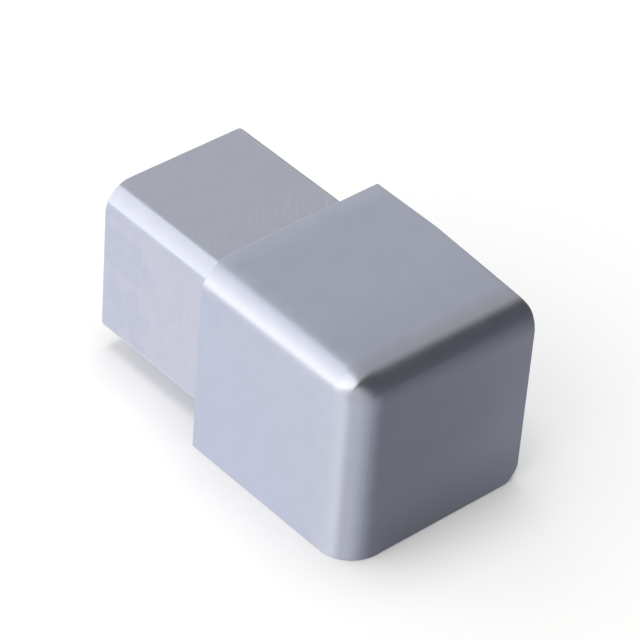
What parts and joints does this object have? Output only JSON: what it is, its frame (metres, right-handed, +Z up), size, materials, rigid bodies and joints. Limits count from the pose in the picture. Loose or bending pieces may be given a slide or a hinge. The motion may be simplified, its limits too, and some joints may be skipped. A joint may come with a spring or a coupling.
{
  "type": "square profile end cap",
  "caption": "Square metal end cap with rounded edges that meet at one corner, and a smaller square plug that slides into the end of a trim profile.",
  "frame": {"origin": "on the plug's axis, in the plane of the shoulder against which the profile butts", "axes": "+X along the plug's axis, out through the head's end face; +Y towards the tiled side; +Z up"},
  "size_m": [0.0226, 0.0126, 0.0126],
  "materials": {
    "satin_metal": "satin, fine blasted head and smoother machined plug"
  },
  "bodies": {
    "root": {"end_cap": "satin_metal"}
  },
  "joints": []
}
